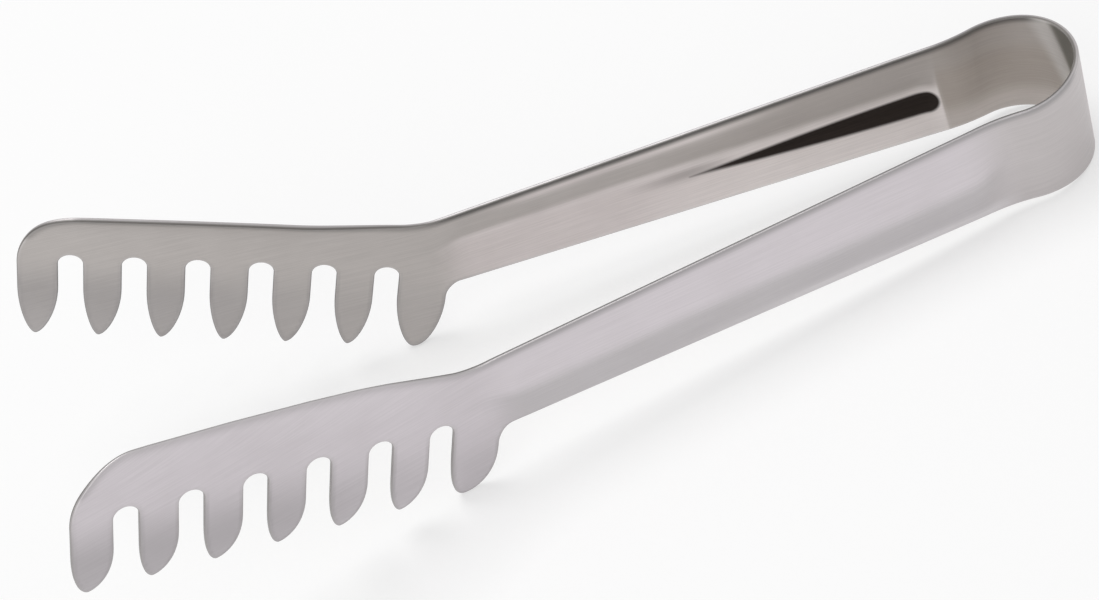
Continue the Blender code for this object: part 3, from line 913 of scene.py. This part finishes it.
@dataclass
class Wiring:
    """A node tree while its nodes are being joined up."""

    tree: bpy.types.NodeTree

    def add(self, kind: str, **settings: object) -> bpy.types.Node:
        """Add a node of a kind and set its settings."""
        node = self.tree.nodes.new(kind)
        for name, value in settings.items():
            setattr(node, name, value)
        return node

    def feed(self, socket: Socket, source: object) -> None:
        """Give a socket its source: another node's output, or a fixed value."""
        if isinstance(source, Socket):
            self.tree.links.new(source, socket)
        else:
            socket.default_value = source

    def mask(self, name: str) -> Socket:
        """Read one of the masks that a piece carries."""
        return self.add("ShaderNodeAttribute", attribute_name=name).outputs["Fac"]

    def reckon(self, operation: str, *sources: object) -> Socket:
        """Do one step of arithmetic on values."""
        node = self.add("ShaderNodeMath", operation=operation)
        for socket, source in zip(node.inputs, sources):
            self.feed(socket, source)
        return node.outputs[0]

    def ease(
        self, value: object, low: float, high: float, to_low: float = 0.0, to_high: float = 1.0
    ) -> Socket:
        """Ease a value from one range over to another.

        Args:
            value: The value or output to read.
            low: Where the ease starts.
            high: Where the ease ends.
            to_low: What it gives at and before low.
            to_high: What it gives at and after high.

        Returns:
            The eased value.
        """
        node = self.add("ShaderNodeMapRange", interpolation_type="SMOOTHSTEP", clamp=True)
        for socket, source in zip(node.inputs, (value, low, high, to_low, to_high)):
            self.feed(socket, source)
        return node.outputs["Result"]

    def blend(self, share: object, first: object, second: object) -> Socket:
        """Mix two colours by a share of the second.

        Args:
            share: Share of the second colour, from 0 to 1.
            first: A colour or output.
            second: A colour or output.

        Returns:
            The mixed colour.
        """
        node = self.add("ShaderNodeMix", data_type="RGBA")
        for name, source in (("Factor_Float", share), ("A_Color", first), ("B_Color", second)):
            socket = next(entry for entry in node.inputs if entry.identifier == name)
            self.feed(socket, (*source, 1.0) if isinstance(source, tuple) else source)
        return next(entry for entry in node.outputs if entry.identifier == "Result_Color")

    def noise(self, place: Socket, dimensions: str = "3D", **values: object) -> Socket:
        """Read a noise at a place.

        Args:
            place: Where to read it.
            dimensions: 2D or 3D.
            values: What its sockets are given, by their names.

        Returns:
            The noise, from 0 to 1.
        """
        node = self.add("ShaderNodeTexNoise", noise_dimensions=dimensions)
        self.feed(node.inputs["Vector"], place)
        for name, source in values.items():
            self.feed(node.inputs[name], source)
        return node.outputs["Fac"]

    def tint(self, base: object, mask: str, shade: object, share: float = 1.0) -> Socket:
        """Lay a shade over a colour where a mask says, by at most a share.

        Args:
            base: The colour or output below.
            mask: Name of the mask.
            shade: The colour or output on top.
            share: Share of the shade where the mask is full.

        Returns:
            The tinted colour.
        """
        return self.blend(self.reckon("MULTIPLY", self.mask(mask), share), base, shade)

    def group(self, tree: bpy.types.NodeTree, **sources: object) -> bpy.types.Node:
        """Place an effect with its own values."""
        node = self.add("ShaderNodeGroup", node_tree=tree)
        for name, source in sources.items():
            self.feed(node.inputs[name], source)
        return node


def new_effect(
    name: str, inputs: tuple[str, ...], outputs: tuple[str, ...]
) -> tuple[Wiring, bpy.types.Node, bpy.types.Node]:
    """Start a node group for an effect that several finishes share.

    Args:
        name: Name of the effect.
        inputs: Names of the values it takes.
        outputs: Names of the values it gives.

    Returns:
        Its wiring, its input node and its output node.
    """
    tree = bpy.data.node_groups.new(name, "ShaderNodeTree")
    for word in inputs:
        tree.interface.new_socket(name=word, in_out="INPUT", socket_type="NodeSocketFloat")
    for word in outputs:
        tree.interface.new_socket(name=word, in_out="OUTPUT", socket_type="NodeSocketFloat")
    wiring = Wiring(tree)
    return wiring, wiring.add("NodeGroupInput"), wiring.add("NodeGroupOutput")


@dataclass(frozen=True)
class Effects:
    """The effects that the finishes share, each built once."""

    grain: bpy.types.NodeTree
    wear: bpy.types.NodeTree
    handling: bpy.types.NodeTree

    @classmethod
    def built(cls) -> "Effects":
        """Build every effect."""
        return cls(cls.brushed_grain(), cls.edge_wear(), cls.handling_marks())

    @staticmethod
    def brushed_grain() -> bpy.types.NodeTree:
        """Build fine lines along the strip, left by the brushing belt, with a few deeper scratches."""
        wiring, given, result = new_effect(
            "brushed_grain", ("Lines per metre", "Runs per metre"), ("Grain", "Scratches")
        )
        place = wiring.add("ShaderNodeSeparateXYZ")
        wiring.feed(place.inputs[0], wiring.add("ShaderNodeUVMap", uv_map="strip").outputs["UV"])
        for output, lines, runs, detail in (("Grain", 1.0, 1.0, 4.0), ("Scratches", 0.55, 2.2, 1.0)):
            spot = wiring.add("ShaderNodeCombineXYZ")
            along = wiring.reckon("MULTIPLY", given.outputs["Runs per metre"], runs)
            across = wiring.reckon("MULTIPLY", given.outputs["Lines per metre"], lines)
            wiring.feed(spot.inputs["X"], wiring.reckon("MULTIPLY", place.outputs["X"], along))
            wiring.feed(spot.inputs["Y"], wiring.reckon("MULTIPLY", place.outputs["Y"], across))
            value = wiring.noise(spot.outputs[0], "2D", Scale=1.0, Detail=detail)
            if output == "Scratches":
                value = wiring.ease(value, 0.70, 0.80)
            wiring.feed(result.inputs[output], value)
        return wiring.tree

    @staticmethod
    def edge_wear() -> bpy.types.NodeTree:
        """Build a worn band beside the cut edges, whose width varies along them."""
        wiring, given, result = new_effect("edge_wear", ("Distance mm", "Width mm"), ("Mask",))
        place = wiring.add("ShaderNodeTexCoord").outputs["Object"]
        noise = wiring.noise(place, Scale=260.0, Detail=3.0)
        spread = wiring.reckon("MULTIPLY_ADD", noise, 1.6, 0.2)
        reach = wiring.reckon("MULTIPLY", given.outputs["Width mm"], spread)
        share = wiring.reckon("DIVIDE", given.outputs["Distance mm"], reach)
        wiring.feed(result.inputs["Mask"], wiring.ease(share, 0.0, 1.0, 1.0, 0.0))
        return wiring.tree

    @staticmethod
    def handling_marks() -> bpy.types.NodeTree:
        """Build faint broad blotches, as washing and handling leave on satin steel."""
        wiring, given, result = new_effect("handling_marks", ("Marks per metre",), ("Blotches",))
        place = wiring.add("ShaderNodeTexCoord").outputs["Object"]
        noise = wiring.noise(place, Scale=given.outputs["Marks per metre"], Detail=5.0, Roughness=0.6)
        wiring.feed(result.inputs["Blotches"], wiring.ease(noise, 0.3, 0.7))
        return wiring.tree


@dataclass(frozen=True)
class SatinSteel:
    """Brushed stainless steel: its own colour, the painted shade, highlights and reflections laid on it by
    region, how strongly each shows, and how rough it is.
    """

    slot: str
    outer: Colour = from_srgb(211, 205, 209)
    outer_flange_shade: Colour = from_srgb(200, 196, 198)
    outer_bow_shade: Colour = from_srgb(198, 193, 193)
    outer_highlight: Colour = from_srgb(222, 218, 220)
    # Painted shade: the inner face is darker than the outer, and darker towards the bow than at the neck.
    inner_rear: Colour = from_srgb(183, 177, 173)
    inner_neck: Colour = from_srgb(192, 187, 184)
    reflection_band_rear: Colour = from_srgb(230, 224, 222)
    reflection_band_neck: Colour = from_srgb(219, 212, 211)
    inner_bow_shade: Colour = from_srgb(175, 167, 160)
    # Painted reflections at the crown, light and dark.
    crown_light_reflection: Colour = from_srgb(207, 204, 201)
    crown_dark_reflection: Colour = from_srgb(100, 101, 93)
    tooth: Colour = from_srgb(150, 147, 148)
    tooth_edge_shade: Colour = from_srgb(138, 135, 135)
    # Painted shade: the cut edges darker than the faces, darker on the inner side.
    edge_outside: Colour = from_srgb(172, 168, 168)
    edge_inside: Colour = from_srgb(112, 109, 106)
    # Painted shade of the top edge, darker on the inner side.
    top_outside: Colour = from_srgb(154, 151, 152)
    top_inside: Colour = from_srgb(90, 88, 86)
    # Painted shade: nearly black, for the inside of the groove.
    groove: Colour = from_srgb(56, 50, 47)
    grain_shade: Colour = from_srgb(150, 147, 148)
    blotch_shade: Colour = from_srgb(160, 155, 152)
    worn: Colour = from_srgb(222, 219, 219)
    top_highlight_share: float = 0.95
    crown_light_reflection_share: float = 0.9
    crown_dark_reflection_share: float = 0.75
    channel_end_highlight_share: float = 0.6
    mark_share: float = 0.38
    tooth_shade_share: float = 0.52
    tooth_edge_shade_share: float = 0.55
    top_edge_shade_share: float = 0.9
    grain_share: float = 0.10
    blotch_share: float = 0.06
    wear_share: float = 0.35
    roughness: float = 0.40
    inner_roughness: float = 0.52
    grain_roughness: tuple[float, float] = (-0.04, 0.05)
    blotch_roughness: float = 0.05
    wear_roughness: float = -0.06
    scratch_roughness: float = -0.08
    groove_roughness: float = 0.15
    grain_strength: float = 0.35
    grain_depth: float = 0.012 * MM
    scratch_height: float = -0.6
    lines_per_metre: float = 4200.0
    runs_per_metre: float = 70.0
    blotches_per_metre: float = 70.0
    wear_mm: float = 0.7

    def material(self, effects: Effects) -> bpy.types.Material:
        """Build the finish as a material.

        Args:
            effects: The effects that the finishes share.

        Returns:
            The material, ready for a piece.
        """
        material = bpy.data.materials.new(f"satin_{self.slot}")
        material.use_nodes = True
        wiring = Wiring(material.node_tree)
        steel = material.node_tree.nodes["Principled BSDF"]
        steel.inputs["Metallic"].default_value = 1.0

        grain = wiring.group(
            effects.grain, **{"Lines per metre": self.lines_per_metre, "Runs per metre": self.runs_per_metre}
        )
        wear = wiring.group(
            effects.wear, **{"Distance mm": wiring.mask("edge_mm"), "Width mm": self.wear_mm}
        ).outputs["Mask"]
        blotches = wiring.group(
            effects.handling, **{"Marks per metre": self.blotches_per_metre}
        ).outputs["Blotches"]
        inner = wiring.ease(wiring.mask("inner_face"), 0.3, 0.7)
        groove = wiring.ease(wiring.mask("groove_mm"), -0.35, 0.45)
        in_groove = wiring.reckon("MULTIPLY", groove, inner)

        # Painted shade: the lower half of the handle's outer face, by the mask named flange.
        outside = wiring.tint(self.outer, "flange", self.outer_flange_shade)
        # Painted shade: the outer face darker over the bow.
        outside = wiring.tint(outside, "bow_outside_shade", self.outer_bow_shade)
        # Painted highlight along the lower edge of the outer face.
        outside = wiring.tint(outside, "low_highlight", self.outer_highlight)
        # Painted reflection: the light band's colour, easing from the rear to the neck.
        band = wiring.tint(self.reflection_band_rear, "neckwards", self.reflection_band_neck)
        # Painted shade of the inner face, easing from the darker rear to the neck.
        inside = wiring.tint(self.inner_rear, "neckwards", self.inner_neck)
        for mask, shade, share in (
            # Painted reflection: the lighter band low on the inner face.
            ("reflection_band", band, 1.0),
            # Painted highlight: the light line below the top edge.
            ("top_highlight", band, self.top_highlight_share),
            # Painted shade: the darker inside of the bow.
            ("bow_inside_shade", self.inner_bow_shade, 1.0),
            # Painted reflection: the light band beside the crown.
            ("crown_light_reflection", self.crown_light_reflection, self.crown_light_reflection_share),
            # Painted reflection: the dark patch at the crown.
            ("crown_dark_reflection", self.crown_dark_reflection, self.crown_dark_reflection_share),
            # Painted highlight: the light line where the channel ends.
            ("channel_end_highlight", band, self.channel_end_highlight_share),
            # Painted shade: the dark streak past the groove's point.
            ("mark", self.groove, self.mark_share),
        ):
            inside = wiring.tint(inside, mask, shade, share)
        # Painted shade on the teeth, darker towards their tips.
        colour = wiring.tint(wiring.blend(inner, outside, inside), "tooth", self.tooth, self.tooth_shade_share)
        lifted = wiring.ease(grain.outputs["Grain"], 0.25, 0.75, 0.0, self.grain_share)
        colour = wiring.blend(lifted, colour, self.grain_shade)
        blotched = wiring.reckon("MULTIPLY", blotches, self.blotch_share)
        colour = wiring.blend(blotched, colour, self.blotch_shade)
        colour = wiring.blend(wiring.reckon("MULTIPLY", wear, self.wear_share), colour, self.worn)
        # Painted shade on the rounded cut edges, darker on the inner side than the outer.
        colour = wiring.tint(colour, "rim", wiring.blend(inner, self.edge_outside, self.edge_inside))
        # Painted shade along the teeth's cut edges.
        colour = wiring.tint(colour, "tooth_edge_shade", self.tooth_edge_shade, self.tooth_edge_shade_share)
        # Painted shade along the top cut edge, darker on its inner side.
        past_edge = wiring.ease(wiring.mask("inner_face"), 0.3, 0.8)
        top_edge_shade = wiring.blend(past_edge, self.top_outside, self.top_inside)
        colour = wiring.tint(colour, "top_edge_shade", top_edge_shade, self.top_edge_shade_share)
        # Painted shade: the groove's inside darkened nearly black, standing in for the dark that the recess
        # shows.
        colour = wiring.blend(in_groove, colour, self.groove)
        wiring.feed(steel.inputs["Base Color"], colour)

        dull = wiring.ease(inner, 0.0, 1.0, self.roughness, self.inner_roughness)
        grained = wiring.ease(grain.outputs["Grain"], 0.2, 0.8, *self.grain_roughness)
        dull = wiring.reckon("ADD", dull, grained)
        for source, more in (
            (blotches, self.blotch_roughness),
            (wear, self.wear_roughness),
            (grain.outputs["Scratches"], self.scratch_roughness),
            (in_groove, self.groove_roughness),
        ):
            dull = wiring.reckon("MULTIPLY_ADD", source, more, dull)
        wiring.feed(steel.inputs["Roughness"], dull)

        bump = wiring.add("ShaderNodeBump")
        bump.inputs["Strength"].default_value = self.grain_strength
        bump.inputs["Distance"].default_value = self.grain_depth
        height = wiring.reckon(
            "MULTIPLY_ADD", grain.outputs["Scratches"], self.scratch_height, grain.outputs["Grain"]
        )
        wiring.feed(bump.inputs["Height"], height)
        wiring.feed(steel.inputs["Normal"], bump.outputs["Normal"])
        return material


class Ray(Enum):
    """Kinds of ray that see the plain white surroundings."""

    CAMERA = "Is Camera Ray"
    GLOSSY = "Is Glossy Ray"
    TRANSMISSION = "Is Transmission Ray"


def seen_directly(wiring: Wiring) -> Socket:
    """Find the rays by which surroundings are looked at, rather than give light."""
    path = wiring.add("ShaderNodeLightPath")
    either = wiring.reckon("MAXIMUM", path.outputs[Ray.CAMERA.value], path.outputs[Ray.GLOSSY.value])
    return wiring.reckon("MAXIMUM", either, path.outputs[Ray.TRANSMISSION.value])


@dataclass(frozen=True)
class Lamp:
    """A large soft lamp that points at the tongs."""

    name: str
    place: tuple[float, float, float]
    width: float
    watts: float


@dataclass
class Studio:
    """Plain pale floor, soft light and the camera at the photograph's viewing angle."""

    floor_side: float = 8.0
    floor_shade: float = 0.98
    floor_glow: float = 0.5
    sky_light: float = 0.53
    lens: float = 95.905
    camera_place: tuple[float, float, float] = (0.0157021, -0.3987004, 0.3980094)
    camera_turn: tuple[float, float, float] = (43.15343, 18.73028, -15.67939)
    lamps: tuple[Lamp, ...] = (
        Lamp("key_lamp", (-0.15, 0.35, 1.35), 0.9, 7.9),
        Lamp("fill_lamp", (-0.60, -0.95, 0.80), 1.2, 3.4),
    )

    def build(self) -> None:
        """Set up floor, sky, lamps and camera."""
        bpy.context.scene.view_settings.view_transform = "Standard"
        self.lay_floor()
        self.light_sky()
        for lamp in self.lamps:
            self.hang(lamp)
        self.set_camera()

    def lay_floor(self) -> None:
        """Lay the pale floor that the tongs stand on."""
        sheet = bmesh.new()
        bmesh.ops.create_grid(sheet, x_segments=1, y_segments=1, size=self.floor_side / 2)
        mesh = bpy.data.meshes.new("floor")
        sheet.to_mesh(mesh)
        sheet.free()
        floor = bpy.data.objects.new("floor", mesh)
        bpy.context.scene.collection.objects.link(floor)
        paper = bpy.data.materials.new("pale_paper")
        paper.use_nodes = True
        wiring = Wiring(paper.node_tree)
        matt = paper.node_tree.nodes["Principled BSDF"]
        seen = seen_directly(wiring)
        lit = self.floor_shade * (1.0 - self.floor_glow)
        shade = wiring.blend(seen, (self.floor_shade,) * 3, (lit,) * 3)
        wiring.feed(matt.inputs["Base Color"], shade)
        matt.inputs["Emission Color"].default_value = (1.0, 1.0, 1.0, 1.0)
        wiring.feed(matt.inputs["Emission Strength"], wiring.reckon("MULTIPLY", seen, self.floor_glow))
        matt.inputs["Roughness"].default_value = 0.9
        matt.inputs["Specular IOR Level"].default_value = 0.0
        mesh.materials.append(paper)

    def light_sky(self) -> None:
        """Light the scene evenly from all round, and show white where nothing stands."""
        world = bpy.data.worlds.new("white_room")
        world.use_nodes = True
        bpy.context.scene.world = world
        wiring = Wiring(world.node_tree)
        sky = world.node_tree.nodes["Background"]
        sky.inputs["Color"].default_value = (1.0, 1.0, 1.0, 1.0)
        strength = wiring.ease(seen_directly(wiring), 0.0, 1.0, self.sky_light, 1.0)
        wiring.feed(sky.inputs["Strength"], strength)

    def hang(self, lamp: Lamp) -> None:
        """Hang one soft lamp."""
        light = bpy.data.lights.new(lamp.name, "AREA")
        light.shape = "SQUARE"
        light.size = lamp.width
        light.energy = lamp.watts
        hung = bpy.data.objects.new(lamp.name, light)
        hung.location = lamp.place
        hung.rotation_euler = (-Vector(lamp.place)).to_track_quat("-Z", "Y").to_euler()
        bpy.context.scene.collection.objects.link(hung)

    def set_camera(self) -> None:
        """Put the camera where the photograph was taken from."""
        camera = bpy.data.objects.new("camera", bpy.data.cameras.new("camera"))
        camera.data.sensor_width = 36.0
        camera.data.sensor_fit = "HORIZONTAL"
        camera.data.lens = self.lens
        camera.data.clip_start = 0.01
        camera.location = self.camera_place
        camera.rotation_euler = [math.radians(angle) for angle in self.camera_turn]
        bpy.context.scene.collection.objects.link(camera)
        bpy.context.scene.camera = camera


FINISHES = tuple(SatinSteel(slot) for slot in ("bow_steel", "handle_steel", "comb_steel"))


def main() -> None:
    """Build the tongs and the studio."""
    logging.basicConfig(level=logging.INFO, format="%(message)s")
    strip = Strip()
    effects = Effects.built()
    materials = {finish.slot: finish.material(effects) for finish in FINISHES}
    for side in Side:
        for kind in (BowHalf, Handle, Comb):
            maker = kind(side, strip)
            piece = maker.build()
            piece.data.materials.append(materials[maker.slot])
            maker.carry(piece)
    Studio().build()


if __name__ == "__main__":
    main()
